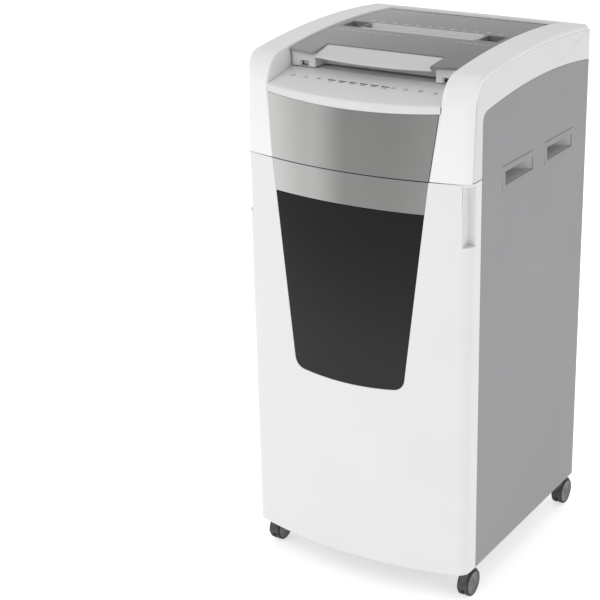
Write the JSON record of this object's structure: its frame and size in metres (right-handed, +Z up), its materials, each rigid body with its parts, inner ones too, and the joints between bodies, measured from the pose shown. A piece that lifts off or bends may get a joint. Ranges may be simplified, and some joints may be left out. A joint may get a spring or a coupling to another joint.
{
  "type": "paper shredder",
  "caption": "Floor-standing office paper shredder with an arched feed lid, touch control strip, tapered smoked window in a pull-out bin drawer, side grip cups and swivel castors.",
  "frame": {"origin": "on the floor, under the middle of the object's box", "axes": "+X to the right seen from the front, +Y to the back, +Z up"},
  "size_m": [0.494, 0.57, 1.0929],
  "materials": {
    "white_shell": "fine satin gloss, moulded",
    "light_shell": "fine matt texture, moulded",
    "grey_panel": "fine leather-like matt texture",
    "silver_panel": "brushed silver lacquer",
    "smoked_window": "smoked clear plastic, polished",
    "lid_smoke": "smoked grey, polished",
    "handle_shell": "pearl satin",
    "bin_plastic": "translucent grey, moulded",
    "frame_steel": "zinc plated sheet",
    "black_plastic": "moulded, fine texture",
    "cutter_steel": "hardened, ground",
    "shaft_steel": "turned",
    "gear_plastic": "natural acetal",
    "bronze": "sintered",
    "roller_rubber": "ground rubber",
    "castor_plastic": "satin moulded",
    "castor_tread": "satin moulded",
    "board_green": "lacquered board",
    "motor_case": "black enamel",
    "screw_steel": "zinc plated"
  },
  "bodies": {
    "cabinet": {"base_plate": "black_plastic", "side_frames": "frame_steel", "right_side_panel": "grey_panel", "left_side_panel": "grey_panel", "side_grip_cups": "grey_panel", "side_bands": "light_shell", "right_rail": "white_shell", "left_rail": "white_shell", "rear_bar": "white_shell", "rear_panel": "grey_panel", "head_front_panel": "silver_panel", "control_panel": "light_shell", "control_board": "board_green", "feed_tray": "light_shell", "head_chassis": "frame_steel", "cutter_side_plates": "frame_steel", "shaft_bearings": "bronze", "cutter_tie_rods": "shaft_steel", "stripper_combs": "black_plastic", "motor_housing": "motor_case", "main_board": "board_green", "power_inlet": "black_plastic", "fixed_runners": "frame_steel", "lid_hinge_pins": "shaft_steel", "lock_housing": "black_plastic", "frame_screws": "screw_steel"},
    "drawer": {"drawer_front": "white_shell", "drawer_trim": "silver_panel", "window": "smoked_window", "drawer_base": "frame_steel", "drawer_runners": "frame_steel", "waste_bin": "bin_plastic"},
    "lid": {"lid_panel": "lid_smoke", "lid_frame": "light_shell", "lid_handle": "handle_shell", "manual_feed_throat": "light_shell"},
    "presser": {"presser_plate": "handle_shell"},
    "lid_lock": {"lock_bolt": "shaft_steel"},
    "mains_switch": {"switch_rocker": "black_plastic"},
    "front_cutter_set": {"front_cutter": "cutter_steel", "front_sync_gear": "gear_plastic", "cutter_drive_gear": "gear_plastic"},
    "rear_cutter_set": {"rear_cutter": "cutter_steel", "rear_sync_gear": "gear_plastic"},
    "idler": {"idler_gear": "gear_plastic"},
    "front_roller": {"front_roller_shaft": "shaft_steel", "front_roller_tyres": "roller_rubber"},
    "rear_roller": {"rear_roller_shaft": "shaft_steel", "rear_roller_tyres": "roller_rubber"},
    "reduction": {"reduction_gear": "gear_plastic"},
    "motor": {"motor_rotor": "shaft_steel"},
    "front_left_castor": {"front_left_castor_hood": "castor_plastic"},
    "front_left_wheels": {"front_left_castor_wheels": "castor_tread"},
    "front_right_castor": {"front_right_castor_hood": "castor_plastic"},
    "front_right_wheels": {"front_right_castor_wheels": "castor_tread"},
    "rear_left_castor": {"rear_left_castor_hood": "castor_plastic"},
    "rear_left_wheels": {"rear_left_castor_wheels": "castor_tread"},
    "rear_right_castor": {"rear_right_castor_hood": "castor_plastic"},
    "rear_right_wheels": {"rear_right_castor_wheels": "castor_tread"}
  },
  "joints": [
    {"name": "drawer_slide", "type": "slide", "parent": "cabinet", "child": "drawer", "axis": [0, -1, 0], "range_m": [0, 0.4]},
    {"name": "lid_hinge", "type": "hinge", "parent": "cabinet", "child": "lid", "pos_m": [0, 0.213, 1.07], "axis": [-1, 0, 0], "range_deg": [0, 65]},
    {"name": "presser_hinge", "type": "hinge", "parent": "lid", "child": "presser", "pos_m": [0, -0.118, 1.062], "axis": [1, 0, 0], "range_deg": [0, 14], "stiffness_Nm_per_rad": 0.25, "springref_deg": -20.05},
    {"name": "lid_lock_slide", "type": "slide", "parent": "cabinet", "child": "lid_lock", "axis": [0, -1, 0], "range_m": [0, 0.006], "stiffness_N_per_m": 120},
    {"name": "mains_rocker", "type": "hinge", "parent": "cabinet", "child": "mains_switch", "pos_m": [0.19, 0.26, 0.943], "axis": [1, 0, 0], "range_deg": [0, 14]},
    {"name": "front_cutter_spin", "type": "hinge", "parent": "cabinet", "child": "front_cutter_set", "pos_m": [0, 0.003, 0.925], "axis": [1, 0, 0], "continuous": true},
    {"name": "rear_cutter_spin", "type": "hinge", "parent": "cabinet", "child": "rear_cutter_set", "pos_m": [0, 0.039, 0.925], "axis": [1, 0, 0], "continuous": true},
    {"name": "idler_spin", "type": "hinge", "parent": "cabinet", "child": "idler", "pos_m": [0, -0.00652, 0.95345], "axis": [1, 0, 0], "continuous": true},
    {"name": "front_roller_spin", "type": "hinge", "parent": "cabinet", "child": "front_roller", "pos_m": [0, -0.001, 0.987], "axis": [1, 0, 0], "continuous": true},
    {"name": "rear_roller_spin", "type": "hinge", "parent": "cabinet", "child": "rear_roller", "pos_m": [0, 0.043, 0.987], "axis": [1, 0, 0], "continuous": true},
    {"name": "reduction_spin", "type": "hinge", "parent": "cabinet", "child": "reduction", "pos_m": [0, -0.03715, 0.943], "axis": [1, 0, 0], "continuous": true},
    {"name": "motor_spin", "type": "hinge", "parent": "cabinet", "child": "motor", "pos_m": [0, -0.08175, 0.937], "axis": [1, 0, 0], "continuous": true},
    {"name": "front_left_swivel", "type": "hinge", "parent": "cabinet", "child": "front_left_castor", "pos_m": [-0.227, -0.214, 0.072], "axis": [0, 0, 1], "continuous": true},
    {"name": "front_left_roll", "type": "hinge", "parent": "front_left_castor", "child": "front_left_wheels", "pos_m": [-0.227, -0.194, 0.028], "axis": [1, 0, 0], "continuous": true},
    {"name": "front_right_swivel", "type": "hinge", "parent": "cabinet", "child": "front_right_castor", "pos_m": [0.227, -0.214, 0.072], "axis": [0, 0, 1], "continuous": true},
    {"name": "front_right_roll", "type": "hinge", "parent": "front_right_castor", "child": "front_right_wheels", "pos_m": [0.227, -0.194, 0.028], "axis": [1, 0, 0], "continuous": true},
    {"name": "rear_left_swivel", "type": "hinge", "parent": "cabinet", "child": "rear_left_castor", "pos_m": [-0.227, 0.237, 0.072], "axis": [0, 0, 1], "continuous": true},
    {"name": "rear_left_roll", "type": "hinge", "parent": "rear_left_castor", "child": "rear_left_wheels", "pos_m": [-0.227, 0.257, 0.028], "axis": [1, 0, 0], "continuous": true},
    {"name": "rear_right_swivel", "type": "hinge", "parent": "cabinet", "child": "rear_right_castor", "pos_m": [0.227, 0.237, 0.072], "axis": [0, 0, 1], "continuous": true},
    {"name": "rear_right_roll", "type": "hinge", "parent": "rear_right_castor", "child": "rear_right_wheels", "pos_m": [0.227, 0.257, 0.028], "axis": [1, 0, 0], "continuous": true}
  ],
  "couplings": [
    {"joint": "rear_cutter_spin", "follows": "front_cutter_spin", "ratio": -1},
    {"joint": "idler_spin", "follows": "front_cutter_spin", "ratio": -1.5},
    {"joint": "front_roller_spin", "follows": "front_cutter_spin", "ratio": 0.81818},
    {"joint": "rear_roller_spin", "follows": "front_cutter_spin", "ratio": -0.81818},
    {"joint": "reduction_spin", "follows": "front_cutter_spin", "ratio": -2.1429},
    {"joint": "motor_spin", "follows": "front_cutter_spin", "ratio": 8.5714}
  ]
}
